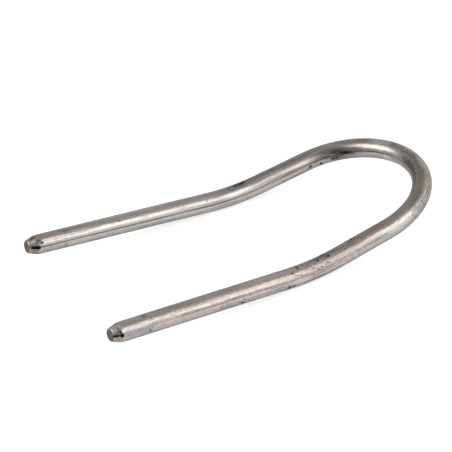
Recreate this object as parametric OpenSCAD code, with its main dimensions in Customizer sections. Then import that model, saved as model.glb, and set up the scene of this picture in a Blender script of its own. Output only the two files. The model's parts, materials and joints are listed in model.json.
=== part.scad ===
// A one-piece cotter pin, bent from a single length of drawn steel wire.
// Two splayed legs end in tapered tips. A knee in each leg tips the U-shaped bow out of
// the plane of the legs, so that the pin can be gripped and pulled.
// The bow is at the +X end and the tips at the -X end, and the two sides mirror each
// other across Y = 0, but for their legs' length. The pin lies as it comes to rest on a
// flat surface at Z = 0: its weight rocks it back from its legs onto the round undersides
// of its knees. The origin is on that surface, under the middle of the pin.

/* [Wire] */
// Diameter of the wire
wire_d = 5; // [3:0.25:8]

/* [Bow] */
// Radius of the bow, to the middle of the wire
bow_r = 20.3; // [12:0.1:40]
// Straight length of each arm, between the bow and its knee
arm_len = 13.8; // [4:0.1:40]
// Angle at which each arm leans outwards
arm_flare = 2.5; // [0:0.1:10]

/* [Knees] */
// Radius of each knee, to the middle of the wire
knee_r = 61; // [20:1:120]
// Angle that each knee turns the wire through
knee_angle = 13.7; // [4:0.1:30]

/* [Legs] */
// Straight length of the +Y leg, from its knee to its end face
long_leg_len = 49.2; // [20:0.1:120]
// Straight length of the -Y leg, from its knee to its end face
short_leg_len = 48.2; // [20:0.1:120]

/* [Tips] */
// Length of the steep taper that ends at the end face
taper_len = 2.4; // [1:0.1:5]
// Depth that the steep taper takes off the radius
taper_depth = 0.78; // [0.3:0.01:1]
// Length of the faint shoulder between the full wire and the taper
shoulder_len = 1.2; // [0.4:0.1:3]
// Depth that the shoulder takes off the radius
shoulder_depth = 0.1; // [0.05:0.01:0.3]

/* [Hidden] */
$fn = 96;

// The wire is drawn in metres and enlarged as a whole at the end. At that scale, the
// rounding where one length of wire turns into the next is too small to leave a seam.
mm = 0.001;

steel = [0.62, 0.60, 0.58];
wire_r = wire_d / 2;
ridge_r = wire_r - shoulder_depth;
end_face_r = ridge_r - taper_depth;

// Angle that each half of the bow turns through, less than 90 so that the arms flare
half_bow_angle = 90 - arm_flare;

// Places along the middle of the wire are [x, z] in the frame of the bow: from the bow's
// middle, along its plane towards the crown, and above it towards the legs' side
arm_start = [bow_r * sin(arm_flare), 0];
arm_end = arm_start - [arm_len * cos(arm_flare), 0];
knee_middle = arm_end + [0, knee_r];
knee_end = knee_middle - knee_r * [sin(knee_angle) * cos(arm_flare), cos(knee_angle)];
leg_way = [-cos(knee_angle) * cos(arm_flare), sin(knee_angle)];

// Length of wire that the steep taper takes off the weight of a leg
taper_loss = taper_len
    * (1 - (pow(ridge_r, 2) + ridge_r * end_face_r + pow(end_face_r, 2)) / (3 * pow(wire_r, 2)));
long_leg_weight = long_leg_len - taper_loss;
short_leg_weight = short_leg_len - taper_loss;

// Lengths of wire that make up the pin, where the middle of each lies, and from these
// the middle of the pin's whole weight
half_bow_turn = half_bow_angle * PI / 180;
knee_turn = knee_angle * PI / 180;
lengths = [2 * bow_r * half_bow_turn, 2 * arm_len, 2 * knee_r * knee_turn,
    long_leg_weight, short_leg_weight];
middles = [
    [bow_r * sin(half_bow_angle) / half_bow_turn, 0],
    (arm_start + arm_end) / 2,
    knee_middle - knee_r / knee_turn * [(1 - cos(knee_angle)) * cos(arm_flare), sin(knee_angle)],
    knee_end + leg_way * long_leg_weight / 2,
    knee_end + leg_way * short_leg_weight / 2
];
weight_middle = lengths * middles / (lengths * [1, 1, 1, 1, 1]);

// Pitch of the bow at rest. The pin rolls on the undersides of its knees until its
// weight is below the middle of their curve, or until the legs or the bow lie flat.
legs_flat_pitch = atan(tan(knee_angle) / cos(arm_flare));
rolled_pitch = atan((knee_middle[0] - weight_middle[0]) / (knee_middle[1] - weight_middle[1]));
rest_pitch = min(legs_flat_pitch, max(0, rolled_pitch));

// A place in the frame of the bow, seen in the frame of the resting pin
function pitched(place) = [
    place[0] * cos(rest_pitch) - place[1] * sin(rest_pitch),
    place[0] * sin(rest_pitch) + place[1] * cos(rest_pitch)
];

// How far the pin reaches from the bow's middle, towards the crown, the tips and the ground
crown_reach = bow_r * cos(rest_pitch) + wire_r;
tip_reach = end_face_r * sqrt(1 - pow(pitched(leg_way)[0], 2))
    - pitched(knee_end + leg_way * max(long_leg_len, short_leg_len))[0];
knee_reach = wire_r + knee_r * sqrt(1 - pow(sin(arm_flare) * sin(rest_pitch), 2))
    - pitched(knee_middle)[1];

// Straight wire along +Z, and whatever follows from its end
module straight(len) {
    cylinder(h = len * mm, r = wire_r * mm);
    translate([0, 0, len * mm]) children();
}

// Wire that starts along +Z and bends towards +X, and whatever follows from its end
module bend(radius, angle) {
    translate([radius * mm, 0, 0]) {
        rotate([90, 0, 180])
            rotate_extrude(angle = angle)
                translate([radius * mm, 0]) circle(r = wire_r * mm);
        rotate([0, angle, 0])
            translate([-radius * mm, 0, 0]) children();
    }
}

// Tip of a leg, tapering along +Z to its end face
module tip() {
    cylinder(h = shoulder_len * mm, r1 = wire_r * mm, r2 = ridge_r * mm);
    translate([0, 0, shoulder_len * mm])
        cylinder(h = taper_len * mm, r1 = ridge_r * mm, r2 = end_face_r * mm);
}

// Half of the pin, from the crown of the bow to the tip of one leg.
// The quarter turn between the two bends sets the knee square to the bow.
module half_pin(leg_len) {
    bend(bow_r, half_bow_angle)
        straight(arm_len)
            rotate(90)
                bend(knee_r, knee_angle)
                    straight(leg_len - taper_len - shoulder_len)
                        tip();
}

module cotter_pin() {
    color(steel)
        translate([(tip_reach - crown_reach) / 2, 0, knee_reach])
            rotate([0, -rest_pitch, 0])
                scale(1 / mm)
                    translate([bow_r * mm, 0, 0]) {
                        rotate([90, 0, 180]) half_pin(long_leg_len);
                        mirror([0, 1, 0])
                            rotate([90, 0, 180]) half_pin(short_leg_len);
                    }
}

cotter_pin();
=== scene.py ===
# %% [markdown]
# A cotter pin, bent from one length of drawn steel wire
#
# This lesson gives a plain CAD pin the looks of a used one. The pin is made here as its maker
# makes it: a straight blank is cut and its ends are tapered, it picks up its marks, and only
# then is it bent. Working on a straight blank keeps every step simple, because a distance along
# the wire is just an X coordinate. Its lengths are in metres, so a millimetre gets a name of
# its own.

# %% Load the frame
import json
from math import atan2, cos, degrees, pi, radians, sin, tan

import bpy
import numpy as np
from mathutils import Matrix, Vector


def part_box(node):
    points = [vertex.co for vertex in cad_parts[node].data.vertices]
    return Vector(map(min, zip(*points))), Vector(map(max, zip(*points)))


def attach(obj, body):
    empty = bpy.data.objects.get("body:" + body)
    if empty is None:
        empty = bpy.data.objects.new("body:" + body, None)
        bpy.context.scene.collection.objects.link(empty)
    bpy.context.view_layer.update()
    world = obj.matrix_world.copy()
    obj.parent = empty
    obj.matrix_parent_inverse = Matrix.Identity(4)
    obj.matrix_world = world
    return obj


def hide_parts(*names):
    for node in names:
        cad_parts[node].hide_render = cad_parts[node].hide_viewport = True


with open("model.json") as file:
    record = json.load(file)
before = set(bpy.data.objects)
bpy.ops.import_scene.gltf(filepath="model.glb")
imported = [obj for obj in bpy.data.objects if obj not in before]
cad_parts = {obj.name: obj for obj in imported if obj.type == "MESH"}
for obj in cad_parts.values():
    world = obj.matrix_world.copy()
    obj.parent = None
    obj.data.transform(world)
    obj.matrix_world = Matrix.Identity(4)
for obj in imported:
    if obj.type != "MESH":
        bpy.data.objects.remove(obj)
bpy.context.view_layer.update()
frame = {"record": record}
mm = 0.001

# %% [markdown]
# The camera
#
# The view is given as someone behind a camera would say it: how far round, how high, how far
# away, and how much the camera is rolled to one side. A long lens from 0.6 m keeps both legs
# almost parallel. The view turns about a point on the floor near the middle of the pin, so each
# of these values can be changed without losing the pin from sight.

# %% Set up the camera
view_azimuth = radians(-113.75)
view_elevation = radians(31.68)
view_roll = radians(-6.46)
view_distance = 612.7 * mm
view_target = Vector((0.11, 12.70, 0)) * mm
lens_length = 194.1
sensor_width = 36


def towards(azimuth, elevation):
    """The direction that lies so far round from +X and so far above the horizon."""
    return Vector((cos(elevation) * cos(azimuth), cos(elevation) * sin(azimuth), sin(elevation)))


bpy.ops.object.camera_add()
camera = bpy.context.object
camera.name = "camera"
camera.data.lens = lens_length
camera.data.sensor_width = sensor_width
backwards = towards(view_azimuth, view_elevation)
camera.rotation_euler = (
    backwards.to_track_quat("Z", "Y").to_matrix() @ Matrix.Rotation(view_roll, 3, "Z")
).to_euler()
camera.location = view_target + view_distance * backwards
bpy.context.scene.camera = camera
bpy.context.scene.view_settings.view_transform = "Standard"
print("the camera stands at", [round(c / mm) for c in camera.location], "mm")

# %% [markdown]
# Shader maths
#
# A finish is a sum of small effects, and every one of them is arithmetic on numbers that vary
# over the surface. This class lets Python's own operators add the Math nodes, so that the
# recipes further down read like formulas. One method makes every other kind of node.


# %% Write shader nodes as formulas
class Term:
    """An output of a material's nodes, on which arithmetic adds Math nodes."""

    def __init__(self, tree, socket):
        self.tree = tree
        self.socket = socket

    def node(self, kind, sockets, output=0, **settings):
        """Adds a node to this term's material: its settings first, then its sockets."""
        made = self.tree.nodes.new(kind)
        for name, value in settings.items():
            setattr(made, name, value)
        for name, value in sockets.items():
            if isinstance(value, Term):
                self.tree.links.new(value.socket, made.inputs[name])
            else:
                made.inputs[name].default_value = value
        return Term(self.tree, made.outputs[output] if made.outputs else None)

    def math(self, operation, *terms):
        return self.node("ShaderNodeMath", dict(enumerate(terms)), operation=operation)

    def __add__(self, other):
        return self.math("ADD", self, other)

    def __sub__(self, other):
        return self.math("SUBTRACT", self, other)

    def __rsub__(self, other):
        return self.math("SUBTRACT", other, self)

    def __mul__(self, other):
        return self.math("MULTIPLY", self, other)

    __radd__ = __add__
    __rmul__ = __mul__

    def __neg__(self):
        return self.math("MULTIPLY", self, -1)

    def __abs__(self):
        return self.math("ABSOLUTE", self)

    def clamped(self):
        """This term, held between 0 and 1."""
        return self.node("ShaderNodeClamp", {"Value": self})

    def between(self, low, high):
        """Rises smoothly from 0 at low to 1 at high, or falls where high is below low."""
        ends = {"From Min": low, "From Max": high}
        return self.node("ShaderNodeMapRange", {"Value": self, **ends},
                         interpolation_type="SMOOTHSTEP")

    def mix(self, first, second, blend="MIX"):
        """The colour between two others, with this term as the share of the second."""
        colours = [c if isinstance(c, Term) else (*c, 1) for c in (first, second)]
        return self.node("ShaderNodeMix", {0: self, 6: colours[0], 7: colours[1]},
                         output=2, data_type="RGBA", blend_type=blend)

    def path(self, *kinds):
        """1 for light paths of any of these kinds, and 0 for others."""
        rays = [self.node("ShaderNodeLightPath", {}, output=kind) for kind in kinds]
        return sum(rays[1:], rays[0]).clamped()

    def attribute(self, name, output="Vector"):
        """What the mesh remembers at each corner under this name."""
        return self.node("ShaderNodeAttribute", {}, output=output, attribute_name=name)

    def dot(self, direction):
        """The cosine of the angle to a direction."""
        return self.node("ShaderNodeVectorMath", {0: self, 1: tuple(direction)}, output="Value",
                         operation="DOT_PRODUCT")

    def share(self, name):
        """The number that the mesh remembers at each corner under this name."""
        return self.attribute(name, output="Fac")

    def stretched_noise(self, along, across, detail):
        """Noise at these places, with so many waves a millimetre along and across the wire."""
        squeezed = self.node("ShaderNodeMapping", {"Vector": self, "Scale": (along, across, across)})
        return self.node("ShaderNodeTexNoise", {"Vector": squeezed, "Scale": 1.0, "Detail": detail})


def new_material(name):
    """A material with an empty node tree, and the term that starts its formulas."""
    material = bpy.data.materials.new(name)
    material.use_nodes = True
    material.node_tree.nodes.clear()
    return material, Term(material.node_tree, None)


# %% [markdown]
# The floor
#
# The pin lies on a white table that runs out to white. A plain floor renders grey under soft
# light, so some light of its own is added to it, but only for the camera and for what the
# metal mirrors. The floor then looks white, its glow lights nothing, and it still takes a soft
# shadow. It is a round table, small enough for its edge to vanish into the white beyond it.

# %% Make the floor
floor_radius = 500 * mm
floor_sides = 128
floor_paint = (0.765, 0.78, 0.79)
seen_glow = 0.62
mirrored_glow = 0.2

bpy.ops.object.select_all(action="DESELECT")
bpy.ops.mesh.primitive_circle_add(vertices=floor_sides, radius=floor_radius, fill_type="NGON")
floor = bpy.context.object
floor.name = "floor"
floor_white, paint = new_material("floor_white")
glow_share = seen_glow * paint.path("Is Camera Ray")
glow_share += mirrored_glow * paint.path("Is Glossy Ray", "Is Transmission Ray")
matt = paint.node("ShaderNodeBsdfDiffuse", {"Color": (*floor_paint, 1)})
glow = paint.node("ShaderNodeEmission", {"Strength": glow_share})
both = paint.node("ShaderNodeAddShader", {0: matt, 1: glow})
paint.node("ShaderNodeOutputMaterial", {"Surface": both})
floor.data.materials.append(floor_white)
print("the floor is", round(2 * floor_radius / mm), "mm across")

# %% [markdown]
# The light
#
# Bare wire shows little colour of its own. It mirrors the room in long stripes, so the room
# is what makes it look like metal: a mid-grey studio above, and the white table below. As on a
# jeweller's table, pale and black cards stand round the pin, and each shows as a stripe or a
# shade on the wire. Here a card is a soft round patch of the world, so it costs no mesh and
# throws no shadow. A point of the world is as high as the sine of its elevation.

# %% Set up the cards
studio_grey = 0.45
grey_height = 0.36
white_height = 0.02
# Each card is its azimuth, its elevation, how far its solid middle and its faded edge reach
# from there, all in degrees, and its brightness.
cards = {
    "black card on the camera's side": (-118, 22, 24, 42, 0.2),
    "black card beyond the crown": (112, 0, 14, 36, 0.16),
    "wide white card to the right": (20, 12, 18, 50, 0.66),
    "small bright card to the right": (-8, 18, 8, 30, 1.2),
    "white card over the right box": (-45, 76, 12, 28, 0.62),
    "white card over the left box": (122, 52, 8, 28, 0.66),
    "white card under the left box": (168, 8, 10, 34, 0.8),
}

world = bpy.data.worlds.new("studio")
bpy.context.scene.world = world
world.use_nodes = True
world.node_tree.nodes.clear()
sky = Term(world.node_tree, None)
way = sky.node("ShaderNodeTexCoord", {}, output="Generated")
height = sky.node("ShaderNodeSeparateXYZ", {"Vector": way}, output="Z")
lit = studio_grey + (1 - studio_grey) * height.between(grey_height, white_height)
for azimuth, elevation, solid_reach, faded_reach, brightness in cards.values():
    facing = way.dot(towards(radians(azimuth), radians(elevation)))
    card = facing.between(cos(radians(faded_reach)), cos(radians(solid_reach)))
    lit = lit + card * (brightness - lit)
seen = sky.path("Is Camera Ray")
whiteness = lit + seen * (1 - lit)
light = sky.node("ShaderNodeBackground", {"Color": (1, 1, 1, 1), "Strength": whiteness})
sky.node("ShaderNodeOutputWorld", {"Surface": light})
print("round the pin stand", len(cards), "cards")

# %% [markdown]
# Two soft boxes do the rest. The first, to the right, draws the bright line along both legs.
# The second, beyond the pin's left side, lights the far shoulder of the bow. They are lamps and
# not cards, because their straight edges give the metal crisp highlights. The camera doesn't
# see them, but the metal does.

# %% Set up the soft boxes
lamp_distance = 1500 * mm


def soft_box(name, azimuth, elevation, width, height, radiance, colour):
    """A lamp that faces the pin. Its place and the width and height it fills are in degrees."""
    bpy.ops.object.light_add(type="AREA")
    lamp = bpy.context.object
    lamp.name = name
    lamp.data.shape = "RECTANGLE"
    lamp.data.size = 2 * lamp_distance * tan(radians(width / 2))
    lamp.data.size_y = 2 * lamp_distance * tan(radians(height / 2))
    lamp.data.energy = radiance * pi * lamp.data.size * lamp.data.size_y
    lamp.data.color = colour
    away = towards(radians(azimuth), radians(elevation))
    lamp.location = lamp_distance * away
    lamp.rotation_euler = away.to_track_quat("Z", "Y").to_euler()
    lamp.visible_camera = False


soft_box("right_soft_box", azimuth=-61, elevation=37, width=52, height=41, radiance=1.6,
         colour=(1, 0.965, 0.915))
soft_box("left_soft_box", azimuth=169, elevation=41, width=44, height=38, radiance=2.7,
         colour=(1, 0.97, 0.94))

# %% [markdown]
# The straight blank
#
# The wire is 5 mm thick. Laid out straight, with the crown of the bow at X = 0, the blank
# reaches along +X for the long leg and along -X for the short one. A circle is the start, and
# each extrusion adds one length of wire: the end's steep taper, its faint shoulder, the whole
# of the shaft, and the same again in reverse. A curve with a round section would be quicker, but
# only a mesh can have its rims bevelled and its sides dented.

# %% Lay out the pin's own sizes
wire_r = 2.5 * mm
bow_r = 20.3 * mm
arm_len = 13.8 * mm
arm_flare = radians(2.5)
knee_r = 61 * mm
knee_angle = radians(13.7)
long_leg_len = 49.2 * mm
short_leg_len = 48.2 * mm
taper_len = 2.4 * mm
shoulder_len = 1.2 * mm
ridge_r = 2.4 * mm
end_face_r = 1.62 * mm

bow_angle = pi - 2 * arm_flare
half_bow_len = bow_r * bow_angle / 2
knee_start = half_bow_len + arm_len
knee_len = knee_r * knee_angle
long_end = knee_start + knee_len + long_leg_len
short_end = -(knee_start + knee_len + short_leg_len)
inwards_from = {short_end: 1, long_end: -1}
print("the blank is", round((long_end - short_end) / mm, 1), "mm long")

# %% Extrude the blank
sides = 96

bpy.ops.object.select_all(action="DESELECT")
bpy.ops.mesh.primitive_circle_add(
    vertices=sides, radius=end_face_r, fill_type="NGON",
    location=(short_end, 0, 0), rotation=(0, pi / 2, 0))
pin = bpy.context.object
pin.name = "pin_wire"
bpy.ops.object.transform_apply(location=True, rotation=True)
bpy.ops.object.mode_set(mode="EDIT")

stretches = [
    (taper_len, ridge_r / end_face_r),
    (shoulder_len, wire_r / ridge_r),
    (long_end - short_end - 2 * (taper_len + shoulder_len), 1),
    (shoulder_len, ridge_r / wire_r),
    (taper_len, end_face_r / ridge_r),
]
reached = short_end
for length, growth in stretches:
    bpy.ops.mesh.extrude_region_move(TRANSFORM_OT_translate={"value": (length, 0, 0)})
    reached += length
    bpy.ops.transform.resize(value=(1, growth, growth), center_override=(reached, 0, 0))
bpy.ops.mesh.select_all(action="SELECT")
bpy.ops.mesh.normals_make_consistent(inside=False)
bpy.ops.object.mode_set(mode="OBJECT")
print("the blank has", len(pin.data.polygons), "faces")

# %% [markdown]
# Soft edges
#
# Nothing that was cut and tumbled has perfectly sharp edges. The rims of the end faces and the
# ridges of the tapers are bevelled. A Bevel modifier would give them all one width, so they are
# bevelled ring by ring. Edges are picked by where their two ends lie: an edge that goes round
# the wire has both its ends at the same X.


# %% Pick edges by place
tolerance = 0.01 * mm


def places(piece):
    """The piece's corners, one row each."""
    corners = np.empty(3 * len(piece.data.vertices), np.float32)
    piece.data.vertices.foreach_get("co", corners)
    return corners.reshape(-1, 3)


def select_edges(piece, test):
    """Leaves edit mode open on the edges that pass the test, which gets both their ends."""
    bpy.ops.object.mode_set(mode="EDIT")
    bpy.ops.mesh.select_mode(type="EDGE")
    bpy.ops.mesh.select_all(action="DESELECT")
    bpy.ops.object.mode_set(mode="OBJECT")
    corners = places(piece)
    ends = np.empty(2 * len(piece.data.edges), np.int32)
    piece.data.edges.foreach_get("vertices", ends)
    picked = test(corners[ends[0::2]], corners[ends[1::2]])
    piece.data.edges.foreach_set("select", picked)
    bpy.ops.object.mode_set(mode="EDIT")


def ring_at(x):
    """A test for the edges that go round the wire at this X."""
    return lambda a, b: (abs(a[:, 0] - x) < tolerance) & (abs(b[:, 0] - x) < tolerance)


# %% Bevel the rims and ridges
rim_bevel = 0.2 * mm
ridge_bevel = 0.14 * mm
shoulder_bevel = 0.3 * mm
bevel_steps = 3

for end, inwards in inwards_from.items():
    edge_x = end
    for inset, bevel in ((0, rim_bevel), (taper_len, ridge_bevel), (shoulder_len, shoulder_bevel)):
        edge_x += inwards * inset
        select_edges(pin, ring_at(edge_x))
        bpy.ops.mesh.bevel(offset=bevel, segments=bevel_steps, affect="EDGES")
        bpy.ops.object.mode_set(mode="OBJECT")
print("with its bevels the blank has", len(pin.data.polygons), "faces")

# %% [markdown]
# Cropped ends
#
# The wire was cropped, which leaves each end face a little hollow behind its rim. Each face is
# inset twice, and what lies inside is pushed in by a few hundredths of a millimetre.

# %% Hollow the end faces
hollow_steps = [(0.25 * mm, 0.03 * mm), (0.35 * mm, 0.05 * mm)]

for end in inwards_from:
    bpy.ops.object.mode_set(mode="EDIT")
    bpy.ops.mesh.select_mode(type="FACE")
    bpy.ops.mesh.select_all(action="DESELECT")
    bpy.ops.object.mode_set(mode="OBJECT")
    for face in pin.data.polygons:
        face.select = len(face.vertices) == sides and abs(face.center.x - end) < tolerance
    bpy.ops.object.mode_set(mode="EDIT")
    for inset, depth in hollow_steps:
        bpy.ops.mesh.inset(thickness=inset, depth=-depth)
    bpy.ops.object.mode_set(mode="OBJECT")
print("with its hollow ends the blank has", len(pin.data.polygons), "faces")

# %% [markdown]
# Rings to bend
#
# A mesh can only bend where it has corners. The long flat faces are cut across into rings a
# quarter of a millimetre apart, in two rounds, because one round makes at most 100 cuts. The
# tapers get a few rings of their own for their marks.

# %% Cut the blank into rings
shaft_cuts = (28, 29)
taper_cuts = 10
shoulder_cuts = 4
shortest_to_cut = 0.2 * mm


def cut_between(low, high, cuts):
    """Cuts the lengthwise edges that lie between two X values into shorter ones."""
    select_edges(pin, lambda a, b: (abs(a[:, 0] - b[:, 0]) > shortest_to_cut)
                 & (np.minimum(a[:, 0], b[:, 0]) > low - tolerance)
                 & (np.maximum(a[:, 0], b[:, 0]) < high + tolerance))
    bpy.ops.mesh.subdivide(number_cuts=cuts)
    bpy.ops.object.mode_set(mode="OBJECT")


for cuts in shaft_cuts:
    cut_between(short_end + taper_len + shoulder_len, long_end - taper_len - shoulder_len, cuts)
for end, inwards in inwards_from.items():
    shoulder_x = end + inwards * taper_len
    shaft_x = shoulder_x + inwards * shoulder_len
    cut_between(min(end, shoulder_x), max(end, shoulder_x), taper_cuts)
    cut_between(min(shoulder_x, shaft_x), max(shoulder_x, shaft_x), shoulder_cuts)
print("in rings the blank has", len(pin.data.polygons), "faces")

# %% [markdown]
# Places on the wire
#
# From here on a place is given as a maker would point at it: how many millimetres along the
# wire from the crown of the bow, and how many degrees round it from the top, where positive
# turns lead to the outside of the U. The blank remembers these places in an attribute, so
# that marks and drawing lines will follow the wire through its bends.

# %% Remember the straight blank
rod = places(pin) / mm
along = rod[:, 0]
turn = np.degrees(np.arctan2(-rod[:, 1], rod[:, 2]))
pin.data.attributes.new("rod", "FLOAT_VECTOR", "POINT").data.foreach_set("vector", rod.ravel())
print("the blank's corners lie from", round(along.min(), 1), "to", round(along.max(), 1), "mm")

# %% [markdown]
# Slanted cuts
#
# The cropping blades left each end face a little out of square. The faces stayed square until
# now because their edges were picked by X. A Displace modifier moves each corner by its share of
# a distance, which a vertex group holds. A face is set back most on the side where its blade came
# in, and not at all on the far side. The taper's corners follow by less and less, down to nothing
# at its ridge. The remembered places stay those of a square end.


# %% Push corners by their shares
def push(piece, share, distance, direction):
    """Moves each corner by its share of a distance."""
    group = piece.vertex_groups.new(name="pushed")
    for corner in np.flatnonzero(share):
        group.add([int(corner)], float(share[corner]), "REPLACE")
    press = piece.modifiers.new("press", "DISPLACE")
    press.vertex_group = group.name
    press.direction = direction
    press.mid_level = 0
    press.strength = distance
    bpy.ops.object.modifier_apply(modifier=press.name)
    piece.vertex_groups.clear()


# %% Slant the end faces
blade_slant = radians(7.5)
blade_turns = {long_end: radians(-57), short_end: radians(60)}
deepest_slant = 2 * end_face_r * tan(blade_slant)

for end, blade_turn in blade_turns.items():
    towards_blade = (rod[:, 2] * cos(blade_turn) - rod[:, 1] * sin(blade_turn)) * mm
    share = np.clip(1 - abs(along * mm - end) / taper_len, 0, 1)
    share *= (towards_blade + end_face_r) / (2 * end_face_r)
    push(pin, np.clip(share, 0, 1), inwards_from[end] * deepest_slant, "X")
print("each end face is set back by up to", round(deepest_slant / mm, 2), "mm")

# %% [markdown]
# Marks of use
#
# The pin has been handled. Acid and damp left black spots, smudges and a few specks of rust,
# and the jig's clamps pressed dull marks into both legs near their tips. Some smudges are painted
# shade, which dims highlights and darkens where the wire mirrors dark surroundings, and the black
# patches on the tapers are partly painted dark reflection. Painting each of them by hand would
# tie them to this one mesh, so each is written down instead as a soft oval on the wire: its
# distance along the wire, its turn, its length, its width and its strength. The lists go from the
# long leg's tip round to the short leg's.

# %% List the black spots and the grime, with their painted shade
stains_and_dark_reflections = [
    # the long leg's tip, whose black patch on the taper is partly a painted dark reflection
    (107.6, -75, 0.9, 0.8, 2.0), (106.9, -78, 1.4, 0.75, 2.0), (106.1, -80, 1.0, 0.85, 2.0),
    (104.9, -55, 0.6, 0.4, 1.6),
    # the long leg
    (102.7, -28, 0.5, 0.4, 0.5), (99.8, -4, 0.8, 0.8, 0.5), (80.2, -84, 0.8, 0.4, 0.4),
    # the long leg's knee
    (53.4, -16, 0.6, 0.4, 0.9), (52.5, -85, 0.9, 0.3, 0.4), (51.4, -4, 1.3, 0.9, 0.45),
    (49.3, -3, 1.3, 1.1, 0.65),
    # the long arm
    (38.8, -112, 1.2, 0.7, 0.5),
    # the bow
    (31.0, -98, 1.0, 0.7, 0.9), (27.8, -108, 0.9, 0.9, 0.8), (24.0, -99, 0.8, 0.7, 0.8),
    (22.8, -102, 0.8, 0.7, 0.8), (20.6, -70, 3.0, 0.4, 0.7), (19.8, -75, 3.4, 0.4, 0.85),
    # the short arm
    (-40.4, -12, 1.6, 0.9, 0.5),
    # the short leg's knee
    (-48.0, 18, 0.8, 0.8, 0.75), (-48.7, 17, 0.6, 0.6, 0.6), (-49.2, -9, 1.2, 1.0, 0.6),
    (-50.7, 86, 0.6, 0.5, 0.5), (-51.0, 60, 0.6, 0.6, 0.5), (-51.2, 16, 0.6, 0.6, 1.0),
    (-52.1, 63, 0.5, 0.6, 0.5), (-53.2, 51, 0.6, 0.9, 0.5), (-53.3, -5, 0.6, 0.5, 0.5),
    (-55.4, 0, 0.6, 0.8, 0.4), (-57.8, 57, 0.5, 0.9, 0.5), (-59.1, 35, 0.7, 0.5, 0.9),
    # the short leg
    (-66.8, 72, 0.5, 0.4, 0.6), (-68.5, 71, 0.6, 0.4, 0.6), (-70.5, 98, 0.4, 0.4, 0.6),
    (-71.0, 75, 0.5, 0.4, 0.6), (-71.5, 112, 0.7, 0.7, 0.5), (-73.2, 118, 1.1, 0.8, 0.7),
    (-76.6, 100, 0.5, 0.5, 0.5), (-79.0, 101, 0.7, 0.7, 0.5), (-98.0, 104, 0.6, 0.8, 0.6),
    # the short leg's tip, whose black dash and spot are partly a painted dark reflection
    (-105.4, 80, 0.9, 0.9, 2.0), (-107.1, 77, 1.9, 0.65, 2.0),
]
# Part of the grime is painted shade: the long smears along the highlights of the short leg, the
# short arm and the long arm dim them, and the smears in the bow and inside the crown darken where
# the wire mirrors dark surroundings.
grime_and_shade = [
    # the long leg's tip
    (107.5, -76, 1.3, 1.1, 1.0), (107.0, -95, 2.6, 3.6, 0.55), (107.0, -114, 2.4, 2.0, 0.6),
    (107.0, -6, 2.4, 1.8, 0.85), (106.2, -80, 1.6, 1.3, 1.0), (105.7, -47, 1.9, 1.9, 0.95),
    # the long leg
    (103.0, -112, 8.0, 2.6, 0.4), (98.8, -112, 1.2, 2.4, 0.55), (85.3, -125, 1.4, 0.9, 0.5),
    # the long leg's knee
    (50.2, -3, 3.8, 1.4, 0.8),
    # the long arm
    (34.0, -35, 14.0, 1.3, 0.55), (31.5, -104, 1.2, 1.2, 0.6),
    # the bow
    (29.0, -60, 6.0, 1.2, 0.4), (27.8, -108, 1.2, 1.0, 0.6), (27.5, -80, 8.0, 0.35, 1.1),
    (26.0, -77, 3.5, 0.5, 0.8), (25.5, -92, 3.0, 1.2, 0.5), (25.0, -42, 16.0, 1.4, 0.75),
    (23.6, -100, 2.6, 1.2, 0.9), (22.5, -60, 5.0, 0.9, 0.9), (22.5, -88, 5.0, 1.4, 1.0),
    (22.0, -106, 6.0, 2.2, 0.6), (20.0, -74, 6.0, 0.9, 1.5), (20.0, -80, 6.0, 1.0, 1.1),
    (19.0, -92, 6.0, 1.2, 0.5), (18.5, -68, 13.0, 6.0, 0.4), (18.0, -46, 6.0, 0.9, 0.5),
    (17.0, -53, 7.0, 1.3, 0.55), (16.5, -70, 5.0, 0.7, 0.9), (14.0, -60, 8.0, 2.0, 0.4),
    (12.0, -71, 10.0, 0.5, 0.9), (12.0, -60, 8.0, 0.3, 0.7), (12.0, -30, 13.0, 0.8, 0.45),
    (-4.0, -46, 12.0, 2.2, 0.5), (-11.0, -60, 6.0, 1.0, 0.6), (-20.0, -22, 12.0, 1.8, 0.25),
    (-20.0, 26, 10.0, 1.7, 0.5),
    # the short arm
    (-41.0, 46, 9.0, 1.0, 0.55),
    # the short leg's knee
    (-48.5, 12, 2.4, 1.4, 0.5), (-49.0, 53, 32.0, 1.4, 0.5), (-57.0, 6, 0.7, 1.5, 1.2),
    (-57.0, 49, 9.0, 1.8, 0.4), (-59.0, 120, 0.8, 1.3, 1.1), (-60.3, 116, 1.0, 1.4, 1.2),
    # the short leg
    (-62.0, 46, 7.0, 0.9, 0.5), (-75.0, 47, 64.0, 1.0, 0.4), (-76.0, 108, 9.0, 1.5, 0.35),
    (-97.4, 80, 1.0, 0.7, 0.5), (-98.6, 8, 1.2, 1.4, 0.5), (-103.0, 54, 5.0, 1.4, 0.35),
    # the short leg's tip
    (-105.6, 60, 0.9, 1.4, 0.9), (-105.9, 32, 0.5, 1.8, 0.8),
]
print(len(stains_and_dark_reflections), "black spots and", len(grime_and_shade), "smears of grime")
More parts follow.
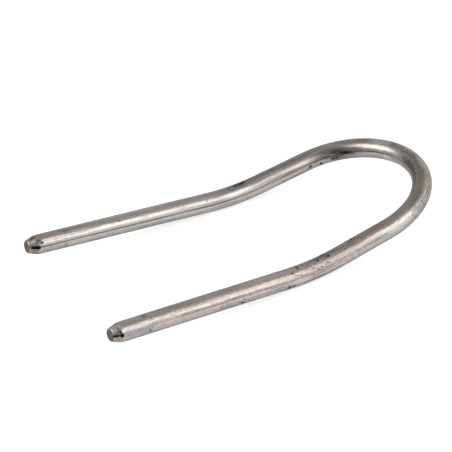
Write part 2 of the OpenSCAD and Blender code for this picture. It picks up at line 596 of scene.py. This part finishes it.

# %% [markdown]
# Rust comes through in specks. Two kinds of film lie on the steel, where heat and oil left a
# purple or a tan tint. They are longer and fainter than the spots. The long tan bands along the
# upper edges of the legs' highlights, and those through the highlights of the short arm and leg,
# are instead a painted warm tint and shade on those highlights.

# %% List the rust and the films
rust = [
    # the bow
    (-8.3, 32, 0.7, 0.5, 0.5), (-10.8, 39, 0.9, 0.7, 0.8), (-13.4, 66, 0.6, 0.6, 0.7),
    (-16.2, 72, 0.7, 0.7, 0.8), (-19.5, 84, 0.9, 0.8, 0.6), (-23.6, 98, 1.4, 1.6, 0.5),
    (-24.3, 70, 0.6, 0.6, 0.7),
    # the short leg's knee
    (-52.0, 66, 0.6, 0.6, 0.5), (-54.0, 70, 12.0, 0.3, 0.6),
]
tints = [
    # the long leg
    (98.4, -15, 2.0, 1.8, 1.0), (70.0, -10, 34.0, 1.2, 0.4),
    # the long leg's knee
    (50.5, 0, 6.0, 1.6, 0.6),
    # the bow
    (22.0, -82, 12.0, 3.4, 0.5), (-16.0, -44, 9.0, 1.2, 0.9), (-26.0, -22, 6.0, 1.0, 0.8),
    # the short arm
    (-40.5, -12, 3.4, 1.3, 1.2),
    # the short leg's knee
    (-50.0, 0, 6.0, 1.4, 0.5), (-57.5, -30, 5.0, 1.6, 0.7),
    # the short leg
    (-66.0, 74, 8.0, 0.8, 0.6), (-84.0, 4, 44.0, 2.6, 0.4), (-98.0, 106, 0.9, 1.2, 1.2),
    (-98.5, 6, 2.2, 1.8, 0.8), (-100.5, 96, 8.0, 3.0, 0.5),
    # the short leg's tip
    (-107.6, 60, 1.2, 1.4, 1.2),
]
# the tan share also carries painted tint and shade on the highlights of the legs and the short arm
tans_and_highlight_tints = [
    # the long leg's tip
    (108.6, 0, 0.5, 16.0, 0.8), (107.0, -10, 2.6, 2.2, 0.9), (106.8, -60, 2.2, 3.4, 0.5),
    (106.8, -112, 2.6, 2.6, 1.0),
    # the long leg
    (78.0, -27, 58.0, 0.8, 0.6),
    # the long leg's knee
    (47.0, -27, 8.0, 0.9, 0.7),
    # the long arm
    (41.0, -15, 4.0, 1.2, 0.6),
    # the bow
    (14.0, -15, 14.0, 1.0, 0.7), (12.0, -64, 12.0, 1.2, 0.8), (-8.0, 10, 26.0, 2.8, 0.8),
    (-12.0, 60, 11.0, 2.2, 0.8),
    # the short arm
    (-35.0, 28, 24.0, 0.9, 1.2), (-38.0, 42, 28.0, 1.0, 0.4),
    # the short leg
    (-75.0, 42, 66.0, 1.0, 0.4), (-85.0, 28, 46.0, 0.9, 1.0), (-102.5, 24, 4.0, 1.2, 0.8),
    # the short leg's tip
    (-106.8, 112, 2.4, 2.2, 0.6),
]
print(len(rust), "specks of rust and", len(tints) + len(tans_and_highlight_tints), "stretches of film")

# %% [markdown]
# Handling also leaves bare metal. Rubbed places are brighter than the rest, and there are a few
# short scratches across the wire. The long pale lines along the legs and their knees and the
# small bright spots on both tips are painted highlights and glints, listed with the rubs. Where
# the steel is pitted, its pits lie closer.

# %% List the rubbed places and the painted highlights, the scratches and the pits
rubs_and_highlights = [
    # the long leg's tip, with painted highlights on its taper
    (106.9, -40, 1.9, 1.8, 1.1), (106.7, -50, 1.8, 1.2, 1.0),
    # the long leg, with painted highlight lines along it
    (82.0, -2, 36.0, 1.3, 0.7), (80.0, -71, 52.0, 0.5, 1.5), (76.0, -32, 58.0, 0.6, 0.5),
    (74.0, -92, 60.0, 0.6, 0.65),
    # the long leg's knee, with painted highlights
    (52.0, -48, 12.0, 1.6, 0.6), (50.0, -71, 14.0, 0.6, 1.1),
    # the bow
    (10.5, 2, 8.0, 2.6, 0.7), (7.0, -92, 5.0, 2.2, 0.6), (2.0, 20, 9.0, 2.0, 0.5),
    (0.9, -101, 3.0, 0.7, 0.9), (-5.0, 24, 9.0, 1.8, 0.55), (-12.5, 60, 5.0, 1.6, 0.5),
    (-23.0, 96, 5.0, 2.4, 0.5), (-24.6, 60, 1.3, 1.2, 0.9), (-28.0, 74, 12.0, 1.8, 0.8),
    # the short leg's knee
    (-57.0, 92, 8.0, 1.6, 0.7), (-60.0, 104, 1.6, 0.3, 0.6),
    # the short leg, with painted highlight lines along it
    (-70.0, 76, 10.0, 0.8, 0.5), (-80.0, 88, 60.0, 1.0, 0.5), (-80.0, 31, 50.0, 0.6, 0.5),
    # the short leg's tip, with a painted glint on its rim
    (-105.4, 28, 0.4, 1.6, 0.9), (-107.0, 42, 1.4, 1.6, 0.8), (-107.2, -8, 2.0, 2.0, 0.9),
    (-107.5, 38, 0.5, 1.5, 2.0),
]
scratches = [
    # the long leg
    (84.3, -37, 0.5, 0.7, 1.3), (73.3, -42, 0.4, 0.4, 0.9), (70.9, 0, 0.3, 1.6, 0.4),
    # the long leg's knee
    (60.4, -48, 0.4, 0.8, 1.3), (60.0, -25, 0.3, 1.6, 0.5),
    # the short leg
    (-94.6, 20, 0.4, 0.8, 0.6),
]
pitting = [
    # the long leg's tip
    (107.0, -80, 5.0, 8.0, 0.5),
    # the long leg
    (99.0, -104, 5.0, 3.0, 0.4),
    # the long leg's knee
    (51.0, -8, 8.0, 2.0, 0.7),
    # the bow
    (27.0, -104, 12.0, 2.2, 0.5), (-15.0, 62, 16.0, 3.0, 0.8),
    # the short leg's knee
    (-50.0, 8, 9.0, 2.2, 0.5), (-53.5, 50, 16.0, 3.0, 0.8),
    # the short leg
    (-68.0, 75, 10.0, 1.2, 0.6), (-76.0, 106, 12.0, 3.0, 0.8), (-98.0, 100, 6.0, 4.0, 0.5),
    # the short leg's tip
    (-107.0, 80, 5.0, 8.0, 0.5),
]
print(len(rubs_and_highlights), "rubbed places,", len(scratches), "scratches,", len(pitting), "pitted places")

# %% [markdown]
# A few marks go deeper than colour, and are dents: those of the clamps, and those under the
# largest spots and scratches.

# %% List the dents
dents = [
    # the long leg's tip
    (106.8, -80, 1.8, 1.0, 0.4), (104.9, -54, 0.6, 0.4, 0.5),
    # the long leg
    (98.6, -106, 1.5, 2.4, 1.0), (84.3, -37, 0.4, 0.7, 0.3),
    # the long leg's knee
    (60.4, -48, 0.4, 0.7, 0.3), (49.3, -3, 1.2, 1.0, 0.5),
    # the long arm
    (38.8, -112, 0.8, 0.7, 0.3),
    # the bow
    (31.0, -98, 0.9, 0.6, 0.4), (-24.6, 92, 0.7, 1.5, 0.4),
    # the short leg's knee
    (-48.0, 18, 0.9, 0.9, 0.5), (-59.7, 118, 1.7, 1.4, 1.0),
    # the short leg
    (-73.2, 118, 0.9, 0.8, 0.4), (-97.2, 78, 0.8, 0.8, 0.7), (-98.1, 102, 1.6, 2.0, 1.0),
    # the short leg's tip
    (-105.4, 80, 0.9, 0.9, 0.6),
]
print(len(dents), "dents")

# %% [markdown]
# Laying the marks on
#
# Where a mark is only a colour, its share is kept at each corner in an attribute, which the
# finish reads later and frays with noise. Where it is a dent, its corners are also pushed
# inwards. An oval of strength 1 is solid half way out to its edge and gone half as far again
# beyond it, and one of strength 2 is solid right to its edge. Where ovals of one kind overlap,
# the strongest counts.


# %% Lay the marks on the blank
gone_at = 1.5


def laid_on(marks):
    """How much of these soft ovals lies on each corner of the blank."""
    share = np.zeros(len(along), np.float32)
    for middle, middle_turn, length, width, strength in marks:
        round_by = (turn - middle_turn + 180) % 360 - 180
        across = np.radians(round_by) * wire_r / mm
        reach = np.hypot((along - middle) / (length / 2), across / (width / 2))
        share = np.maximum(share, strength * np.clip(gone_at - reach, 0, 1))
    return share


def remember(name, share):
    """Keeps a share at each corner of the pin, for the finish to read."""
    kept = pin.data.attributes.new(name, "FLOAT", "POINT")
    kept.data.foreach_set("value", share.astype(np.float32))
    print(name, "covers", round(100 * (share > 0.5).mean(), 1), "% of the blank's corners")


colour_marks = {
    "stain_and_reflection": stains_and_dark_reflections, "grime_and_shade": grime_and_shade, "rust": rust, "tint": tints, "tan": tans_and_highlight_tints, "rub_and_highlight": rubs_and_highlights,
    "scratch": scratches, "pitting": pitting}
for name, marks in colour_marks.items():
    remember(name, laid_on(marks))

# %% Press the dents
deepest_dent = 0.07 * mm

dented_share = laid_on(dents)
remember("dent", dented_share)
push(pin, dented_share, -deepest_dent, "NORMAL")
print("the deepest dent is", round(deepest_dent / mm, 2), "mm")

# %% [markdown]
# The blades left the end faces dull and dark, and the tool that turned the tapers left those a
# little dull too. That is one more share, and needs no list: how far a corner lies from its end
# and from the wire's axis tells where it is.

# %% Tell cut steel from drawn steel
face_depth = 0.15
face_slack = 0.02
taper_cut = 0.3

face_reach = (end_face_r - rim_bevel) / mm + face_slack
from_end = np.minimum(long_end / mm - along, along - short_end / mm)
from_axis = np.hypot(rod[:, 1], rod[:, 2])
on_end_face = (from_end < face_depth) & (from_axis < face_reach)
remember("cut", np.where(on_end_face, 1, taper_cut * (from_end < taper_len / mm)))

# %% [markdown]
# The bends
#
# A Simple Deform modifier bends a mesh as a roller would: it wraps the length between two
# limits round an arc, and carries whatever lies beyond straight on. The legs are bent up at
# their knees first, and then the middle is rolled into the bow. The modifier counts its limits
# as shares of the mesh's length, along the X axis of an empty that marks where the bend starts.


# %% Bend the wire
def bend(piece, start, rotation, low, high, angle):
    """Bends what lies from low to high, seen from an empty with this place and rotation."""
    bpy.ops.object.empty_add(location=start, rotation=rotation)
    marker = bpy.context.object
    bpy.context.view_layer.update()
    seen = places(piece) @ np.array(marker.matrix_world.inverted().to_3x3()).T[:, 0]
    seen += marker.matrix_world.inverted().translation.x
    roller = piece.modifiers.new("roller", "SIMPLE_DEFORM")
    roller.deform_method = "BEND"
    roller.deform_axis = "Z"
    roller.origin = marker
    roller.limits = [(limit - seen.min()) / np.ptp(seen) for limit in (low, high)]
    roller.angle = angle
    bpy.context.view_layer.objects.active = piece
    bpy.ops.object.modifier_apply(modifier=roller.name)
    bpy.data.objects.remove(marker)


bend(pin, (knee_start, 0, 0), (pi / 2, 0, 0), 0, knee_len, knee_angle)
bend(pin, (-knee_start, 0, 0), (pi / 2, 0, pi), 0, knee_len, knee_angle)
bend(pin, (0, 0, 0), (0, 0, 0), -half_bow_len, half_bow_len, bow_angle)
print("bent, the pin spans", np.round(np.ptp(places(pin), axis=0) / mm, 1), "mm")

# %% [markdown]
# Laying it down
#
# The bend left the U open towards +Y. It is turned to open towards -X, and tipped until its
# legs rise as the frame says: the CAD pin rests on the round undersides of its knees. The
# frame's own box then gives the place.

# %% Turn, tip and place the pin
leg_way = Vector(frame["record"]["mounts"][0]["axis"])
leg_rise = atan2(leg_way.z, -leg_way.x)
tip_angle = atan2(sin(knee_angle), cos(knee_angle) * cos(arm_flare)) - leg_rise

bpy.ops.object.select_all(action="DESELECT")
pin.select_set(True)
bpy.context.view_layer.objects.active = pin
for rotation in ((0, 0, pi / 2), (0, -tip_angle, 0)):
    pin.rotation_euler = rotation
    bpy.ops.object.transform_apply()
low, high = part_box("cotter_pin")
corners = places(pin)
pin.location = (high.x - corners[:, 0].max(), 0, low.z - corners[:, 2].min())
bpy.ops.object.transform_apply()
bpy.ops.object.shade_smooth()
print("tipped by", round(degrees(tip_angle), 2), "degrees, the legs rise by",
      round(degrees(leg_rise), 2), "degrees")

# %% [markdown]
# Drawn steel
#
# Wire is pulled through a die, which leaves fine lines along it. The lines are noise that is
# stretched along the straight rod, so that they follow the bends. They change the colour and
# the roughness a little, and as a bump they smear what the wire mirrors across its width. The
# rest of the noise is rounder, and breaks up the steel's colour and the edges of its marks.

# %% Stretch the noise
drawn_steel, steel = new_material("drawn_steel")
on_rod = steel.attribute("rod")
fine_lines = on_rod.stretched_noise(along=0.1, across=3.4, detail=4)
broad_lines = on_rod.stretched_noise(along=0.03, across=0.9, detail=2)
sheen = on_rod.stretched_noise(along=0.35, across=1.3, detail=4)
blotches = on_rod.stretched_noise(along=1.2, across=1.8, detail=3)
specks = on_rod.stretched_noise(along=1.7, across=2.2, detail=2)
grit = on_rod.stretched_noise(along=3, across=4, detail=4)
print("drawn steel starts with", len(drawn_steel.node_tree.nodes), "nodes")

# %% [markdown]
# Where on the wire
#
# The finish isn't the same all over. The top is browner than the sides, most of all between the
# knees. The underside and the inside of the bow near its crown get painted shade: their colour is
# greyer and darker, as the wire mirrors the shaded table below it and dark surroundings there.
# The long arm and leg are smoother than the rest, the arm most of all. Painted masks would do, but
# formulas on the remembered places are easier to change. Each region fades in or out between two
# places: distances along the wire in millimetres, heights above its middle, or turns in radians.

# %% Name the regions
x, y, z = [
    on_rod.node("ShaderNodeSeparateXYZ", {"Vector": on_rod}, output=axis) for axis in range(3)]
turn_here = y.math("ARCTAN2", -y, z)
from_crown = abs(x)

top = z.between(1.95, 2.4)
underside_shade = z.between(-0.6, -2.4)
inner_bow_shade = (-turn_here).between(0.5, 0.9) * x.between(3, -3) * x.between(-22, -16)
smooth_side = x.between(24, 32) * (1 - 0.4 * x.between(54, 66))
browned = 0.55 * top * from_crown.between(64, 48) + 0.2 * top * x.between(20, 50)
browned += 0.2 * from_crown.between(28, 18) + 0.15 * from_crown.between(50, 32)
print("the regions bring it to", len(drawn_steel.node_tree.nodes), "nodes")

# %% [markdown]
# Frayed marks
#
# The marks were laid on as smooth ovals, and no real mark is so neat. Noise is added to each
# share, and a smooth step then cuts it off, which frays its edges. Grit makes them ragged, and
# drawing lines make them streaked, as where dirt was wiped along the wire.

# %% Fray the marks
ragged = 0.9 * (grit - 0.5)
streaked = 0.9 * (fine_lines - 0.5) + 0.4 * (grit - 0.5)
stain_and_reflection_share = (steel.share("stain_and_reflection") + ragged).between(0.2, 0.8)
rusted = (steel.share("rust") + ragged).between(0.2, 0.8)
grimy_and_shaded = (steel.share("grime_and_shade") + streaked).between(0.1, 1.1)
tanned_and_highlight_tinted = (steel.share("tan") + streaked).between(0.1, 1.1)
tinted = (steel.share("tint") + 0.8 * (blotches - 0.5)).between(0.1, 0.9)
rubbed_and_highlit = (steel.share("rub_and_highlight") + 0.5 * (grit - 0.5)).between(0.3, 0.8)
scratched = steel.share("scratch").between(0.1, 0.9)
pitted = (specks + 0.16 * steel.share("pitting")).between(0.68, 0.78)
black_spots_and_reflections = (stain_and_reflection_share + 0.6 * pitted).clamped()
dented = steel.share("dent")
cut = steel.share("cut")
print("the marks bring it to", len(drawn_steel.node_tree.nodes), "nodes")

# %% [markdown]
# The seam
#
# Nicks in the die draw thin dark seams along the wire. The plainest runs along the long leg and
# drifts a little as it enters the bow. A fainter one runs beside it. The line along the short leg
# lies just below its highlight, where the wire mirrors the dark gap under the right soft box: it
# is partly a die line and partly a painted dark reflection. As geometry such a line would need a
# far finer mesh, so it is a colour and a bump.


# %% Draw the seam
line_core = 0.05
line_edge = 0.18


def hairline(middle_turn, first, last):
    """A thin line along the wire at this turn, from the first distance to the last."""
    across = abs(turn_here - middle_turn) * (wire_r / mm)
    line = across.between(line_edge, line_core)
    return line * x.between(first - 1, first + 1) * x.between(last + 1, last)


seam_turn = radians(-79) + radians(10) * x.between(24, 4)
seams_and_dark_reflection = hairline(seam_turn, 4, 105)
seams_and_dark_reflection += 0.32 * hairline(radians(-66), 56, 104.5)
# the short leg's line, partly a painted dark reflection
seams_and_dark_reflection += 0.3 * hairline(radians(76), -95, -48)
print("the seam brings it to", len(drawn_steel.node_tree.nodes), "nodes")

# %% [markdown]
# The colours
#
# Steel that was handled is not one grey. The bare metal goes from dark to pale with its drawing
# lines and blotches, and turns straw in streaks. The browned regions replace it by their shares,
# and so does the painted shade on the underside and inside the bow.

# %% Colour the bare steel
STEEL_DARK = (0.35, 0.327, 0.314)
STEEL_PALE = (0.66, 0.62, 0.595)
STRAW = (0.54, 0.48, 0.425)
BROWN_DARK = (0.243, 0.225, 0.215)
BROWN_PALE = (0.41, 0.38, 0.36)
SHADE_GREY = (0.28, 0.28, 0.285)

tone = 0.5 + 3.2 * (fine_lines - 0.5) + (1.9 - 1.2 * smooth_side) * (blotches - 0.5)
tone += 1.6 * (broad_lines - 0.5)
colour = tone.clamped().mix(STEEL_DARK, STEEL_PALE)
colour = (0.4 * broad_lines.between(0.45, 0.7)).mix(colour, STRAW)
colour = browned.clamped().mix(colour, tone.clamped().mix(BROWN_DARK, BROWN_PALE))
# painted shade: the underside and the inside of the bow turn greyer and darker
colour = (0.5 * underside_shade + 0.45 * inner_bow_shade).mix(colour, SHADE_GREY)
print("the bare steel brings it to", len(drawn_steel.node_tree.nodes), "nodes")

# %% [markdown]
# Films let the steel show through, so they are multiplied in: a faint sheen of lilac here and
# olive there, and then the tan films with the painted tint on the highlights, and the purple films.

# %% Lay on the films
LILAC_SHEEN = (1.0, 0.92, 1.0)
OLIVE_SHEEN = (0.97, 1.0, 0.9)
TAN_FILM_AND_HIGHLIGHT_TINT = (0.95, 0.84, 0.72)
PURPLE_FILM = (0.72, 0.67, 0.8)

colour = sheen.between(0.5, 0.7).mix(colour, LILAC_SHEEN, blend="MULTIPLY")
colour = sheen.between(0.5, 0.3).mix(colour, OLIVE_SHEEN, blend="MULTIPLY")
# tan films, and painted warm tint and shade on the legs' highlights
colour = (0.9 * tanned_and_highlight_tinted).mix(colour, TAN_FILM_AND_HIGHLIGHT_TINT, blend="MULTIPLY")
colour = (0.9 * tinted).mix(colour, PURPLE_FILM, blend="MULTIPLY")
print("the films bring it to", len(drawn_steel.node_tree.nodes), "nodes")

# %% [markdown]
# Bare spots, dirt and the painted light among them hide what is under them, so they are mixed
# in, in the order in which they lie: rubbed steel with its painted highlights and cut steel first,
# then grime with its painted shade, the seams and the scratches, black spots with their painted
# dark reflections, and rust.

# %% Lay on the bare spots, the dirt and the painted light
RUB_AND_HIGHLIGHT_STEEL = (0.76, 0.73, 0.715)
CUT_STEEL = (0.145, 0.134, 0.128)
OIL_AND_SHADE_BROWN = (0.075, 0.055, 0.048)
STAIN_AND_REFLECTION_BLACK = (0.016, 0.012, 0.012)
RUST_BROWN = (0.17, 0.075, 0.045)

# rubbed steel, and painted highlights and glints on the legs and tips
colour = (0.6 * rubbed_and_highlit).mix(colour, RUB_AND_HIGHLIGHT_STEEL)
colour = (cut * (0.6 + 0.7 * grit)).clamped().mix(colour, CUT_STEEL)
# grime, partly painted shade that dims highlights and darkens the bow and the crown
colour = (0.85 * grimy_and_shaded).mix(colour, OIL_AND_SHADE_BROWN)
# seams with the short leg's painted dark line, and scratches
colour = (0.8 * seams_and_dark_reflection + 0.6 * scratched).clamped().mix(colour, OIL_AND_SHADE_BROWN)
# black spots, and on the tips partly a painted dark reflection
colour = (0.98 * black_spots_and_reflections).mix(colour, STAIN_AND_REFLECTION_BLACK)
colour = (0.8 * rusted).mix(colour, RUST_BROWN)
print("the dirt brings it to", len(drawn_steel.node_tree.nodes), "nodes")

# %% [markdown]
# Shine and relief
#
# Clean wire is shiny, and anything that sits on it or was done to it makes it duller, and so do
# the painted shade in the grime and the painted dark reflections on the tips. Rust is hardly
# metal any more. The relief is a bump, because the drawing lines are about a hundredth of a
# millimetre deep, far too fine for the mesh. The seams and the black spots sink into it, and the
# painted dark line and reflections with them. Metal mirrors most along its rims, so a specular
# tint keeps those from turning white.

# %% Finish the drawn steel
RIM_SHADE = (0.77, 0.76, 0.745)
relief_depth = 0.014 * mm

roughness = 0.22 + 0.13 * broad_lines + 0.15 * (black_spots_and_reflections + 0.5 * grimy_and_shaded)
roughness += 0.2 * rusted + 0.12 * dented + 0.3 * cut
metallic = 1 - 0.8 * rusted
relief = fine_lines + 0.7 * broad_lines + 0.02 * blotches + (0.06 - 0.035 * smooth_side) * grit
relief = relief - seams_and_dark_reflection - 1.5 * black_spots_and_reflections
bump = steel.node("ShaderNodeBump", {
    "Height": relief, "Strength": 1.0, "Distance": relief_depth})
surface = steel.node("ShaderNodeBsdfPrincipled", {
    "Base Color": colour, "Roughness": roughness, "Metallic": metallic, "Normal": bump,
    "Specular Tint": (*RIM_SHADE, 1)})
steel.node("ShaderNodeOutputMaterial", {"Surface": surface})
pin.data.materials.append(drawn_steel)
print("drawn steel is made of", len(drawn_steel.node_tree.nodes), "nodes")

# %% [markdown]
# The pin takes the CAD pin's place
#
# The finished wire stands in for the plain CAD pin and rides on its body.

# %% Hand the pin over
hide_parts("cotter_pin")
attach(pin, "root")
